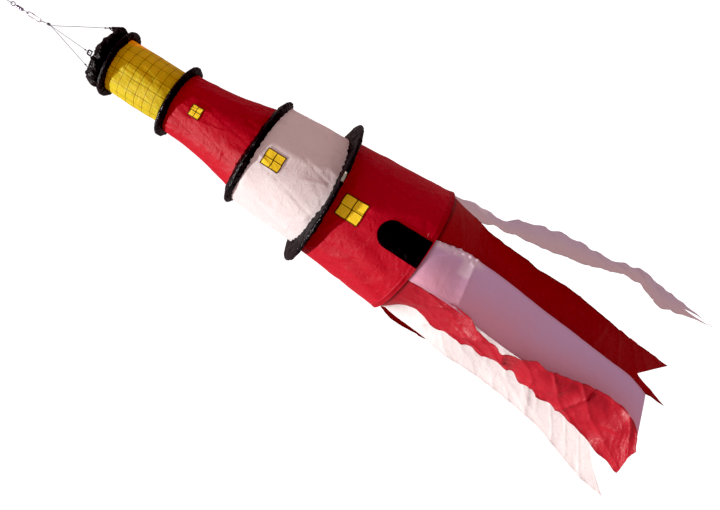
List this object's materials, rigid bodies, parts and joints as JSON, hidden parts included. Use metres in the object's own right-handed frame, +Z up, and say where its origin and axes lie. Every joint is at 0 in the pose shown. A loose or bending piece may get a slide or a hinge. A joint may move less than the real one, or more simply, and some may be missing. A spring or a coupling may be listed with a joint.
{
  "type": "lighthouse windsock with bridle and swivel",
  "caption": "Hanging nylon windsock in the shape of a lighthouse, with hooped gallery rings, a three-line bridle on a snap swivel and notched streamers.",
  "frame": {"origin": "top of the hanging loop, where a hook would hold it", "axes": "+Z up along the line it hangs from, -Y towards the front with the windows and the door, +X to the right seen from the front"},
  "size_m": [0.4226, 0.3109, 1.4789],
  "materials": {
    "black_cord": "braided cord",
    "dark_metal": "blackened brass, satin",
    "bright_wire": "nickel-plated wire",
    "ferrule_metal": "drawn tube",
    "glass_fibre": "pultruded rod",
    "black_nylon": "coated ripstop nylon, slight sheen",
    "yellow_nylon": "coated ripstop nylon, slight sheen",
    "white_nylon": "thin coated nylon taffeta, translucent",
    "red_nylon": "thin coated nylon taffeta, translucent"
  },
  "bodies": {
    "hanger": {"hang_loop_cord": "black_cord", "hang_knot": "black_cord", "swivel_cord": "black_cord", "swivel_upper_eye": "dark_metal"},
    "swivel_barrel": {"swivel_barrel": "dark_metal"},
    "swivel_lower": {"swivel_lower_eye": "dark_metal"},
    "snap": {"snap_body": "bright_wire"},
    "snap_gate": {"snap_gate": "bright_wire"},
    "head": {"bridle_loop_cord": "black_cord", "bridle_knot": "black_cord", "bridle_line_1": "black_cord", "bridle_line_knot_1": "black_cord", "bridle_line_eye_1": "black_cord", "bridle_tab_1": "black_nylon", "bridle_line_2": "black_cord", "bridle_line_knot_2": "black_cord", "bridle_line_eye_2": "black_cord", "bridle_tab_2": "black_nylon", "bridle_line_3": "black_cord", "bridle_line_knot_3": "black_cord", "bridle_line_eye_3": "black_cord", "bridle_tab_3": "black_nylon", "roof_collar": "black_nylon", "hoop_1": "glass_fibre", "hoop_ferrule_1": "ferrule_metal", "gallery_sleeve_1": "black_nylon"},
    "lantern": {"lantern_panel": "yellow_nylon"},
    "ring_2": {"hoop_2": "glass_fibre", "hoop_ferrule_2": "ferrule_metal", "gallery_sleeve_2": "black_nylon"},
    "upper_tower": {"upper_tower_panel": "red_nylon", "window_upper": "yellow_nylon"},
    "ring_3": {"hoop_3": "glass_fibre", "hoop_ferrule_3": "ferrule_metal", "gallery_sleeve_3": "black_nylon"},
    "middle_tower": {"middle_tower_panel": "white_nylon", "window_middle": "yellow_nylon"},
    "ring_4": {"hoop_4": "glass_fibre", "hoop_ferrule_4": "ferrule_metal", "gallery_sleeve_4": "black_nylon"},
    "lower_tower": {"lower_tower_panel": "red_nylon", "window_lower": "yellow_nylon", "door_panel": "black_nylon"},
    "base": {"base_hem": "red_nylon"},
    "streamer_white_right": {"streamer_white_right": "white_nylon"},
    "streamer_red_front_right": {"streamer_red_front_right": "red_nylon"},
    "streamer_white_front": {"streamer_white_front": "white_nylon"},
    "streamer_red_front_left": {"streamer_red_front_left": "red_nylon"},
    "streamer_white_left": {"streamer_white_left": "white_nylon"},
    "streamer_red_back_left": {"streamer_red_back_left": "red_nylon"},
    "streamer_white_back": {"streamer_white_back": "white_nylon"},
    "streamer_red_back_right": {"streamer_red_back_right": "red_nylon"}
  },
  "joints": [
    {"name": "swivel_barrel_spin", "type": "hinge", "parent": "hanger", "child": "swivel_barrel", "pos_m": [0, 0, -0.0575], "axis": [0, 0, 1], "continuous": true},
    {"name": "swivel_lower_spin", "type": "hinge", "parent": "hanger", "child": "swivel_lower", "pos_m": [0, 0, -0.064], "axis": [0, 0, 1], "continuous": true},
    {"name": "snap_swing", "type": "hinge", "parent": "swivel_lower", "child": "snap", "pos_m": [0, 0, -0.0732], "axis": [0, 1, 0], "range_deg": [-60, 60]},
    {"name": "snap_gate_hinge", "type": "hinge", "parent": "snap", "child": "snap_gate", "pos_m": [0.0031, 0, -0.0814], "axis": [0, 1, 0], "range_deg": [0, 22], "stiffness_Nm_per_rad": 0.0004, "springref_deg": -11.46},
    {"name": "bridle_swing", "type": "hinge", "parent": "snap", "child": "head", "pos_m": [0, 0, -0.0965], "axis": [1, 0, 0], "range_deg": [-60, 60]},
    {"name": "lantern_bend", "type": "hinge", "parent": "head", "child": "lantern", "pos_m": [0.009, 0, -0.27043], "axis": [0, 1, 0], "range_deg": [-15, 15], "deforming": ["lantern_panel"]},
    {"name": "lantern_collapse", "type": "slide", "parent": "lantern", "child": "ring_2", "axis": [0, 0, 1], "range_m": [0, 0.0471]},
    {"name": "upper_tower_bend", "type": "hinge", "parent": "ring_2", "child": "upper_tower", "pos_m": [0.009, 0, -0.40022], "axis": [0, 1, 0], "range_deg": [-15, 15], "deforming": ["upper_tower_panel", "window_upper"]},
    {"name": "upper_tower_collapse", "type": "slide", "parent": "upper_tower", "child": "ring_3", "axis": [0, 0, 1], "range_m": [0, 0.0664]},
    {"name": "middle_tower_bend", "type": "hinge", "parent": "ring_3", "child": "middle_tower", "pos_m": [0.009, 0, -0.55922], "axis": [0, 1, 0], "range_deg": [-12, 12], "deforming": ["middle_tower_panel", "window_middle"]},
    {"name": "middle_tower_collapse", "type": "slide", "parent": "middle_tower", "child": "ring_4", "axis": [0, 0, 1], "range_m": [0, 0.0551]},
    {"name": "lower_tower_bend", "type": "hinge", "parent": "ring_4", "child": "lower_tower", "pos_m": [0.009, 0, -0.71313], "axis": [0, 1, 0], "range_deg": [-12, 12], "deforming": ["lower_tower_panel", "window_lower"]},
    {"name": "lower_tower_collapse", "type": "slide", "parent": "lower_tower", "child": "base", "axis": [0, 0, 1], "range_m": [0, 0.081], "deforming": ["door_panel"]},
    {"name": "streamer_white_right_flap", "type": "hinge", "parent": "base", "child": "streamer_white_right", "pos_m": [0.1412, 0, -0.87052], "axis": [0, -1, 0], "range_deg": [-8, 50], "deforming": ["streamer_white_right"]},
    {"name": "streamer_red_front_right_flap", "type": "hinge", "parent": "base", "child": "streamer_red_front_right", "pos_m": [0.09617, -0.09939, -0.86605], "axis": [-0.7518, -0.6593, 0], "range_deg": [-8, 50], "deforming": ["streamer_red_front_right"]},
    {"name": "streamer_white_front_flap", "type": "hinge", "parent": "base", "child": "streamer_white_front", "pos_m": [0.00035, -0.13192, -0.86121], "axis": [-0.9979, 0.0654, 0], "range_deg": [-8, 50], "deforming": ["streamer_white_front"]},
    {"name": "streamer_red_front_left_flap", "type": "hinge", "parent": "base", "child": "streamer_red_front_left", "pos_m": [-0.08448, -0.09348, -0.85867], "axis": [-0.7071, 0.7071, 0], "range_deg": [-8, 50], "deforming": ["streamer_red_front_left"]},
    {"name": "streamer_white_left_flap", "type": "hinge", "parent": "base", "child": "streamer_white_left", "pos_m": [-0.1232, 0, -0.85948], "axis": [0, 1, 0], "range_deg": [-8, 50], "deforming": ["streamer_white_left"]},
    {"name": "streamer_red_back_left_flap", "type": "hinge", "parent": "base", "child": "streamer_red_back_left", "pos_m": [-0.08448, 0.09348, -0.86353], "axis": [0.7071, 0.7071, 0], "range_deg": [-8, 50], "deforming": ["streamer_red_back_left"]},
    {"name": "streamer_white_back_flap", "type": "hinge", "parent": "base", "child": "streamer_white_back", "pos_m": [0.009, 0.1322, -0.86844], "axis": [1, 0, 0], "range_deg": [-8, 50], "deforming": ["streamer_white_back"]},
    {"name": "streamer_red_back_right_flap", "type": "hinge", "parent": "base", "child": "streamer_red_back_right", "pos_m": [0.10248, 0.09348, -0.87133], "axis": [0.7071, -0.7071, 0], "range_deg": [-8, 50], "deforming": ["streamer_red_back_right"]}
  ]
}
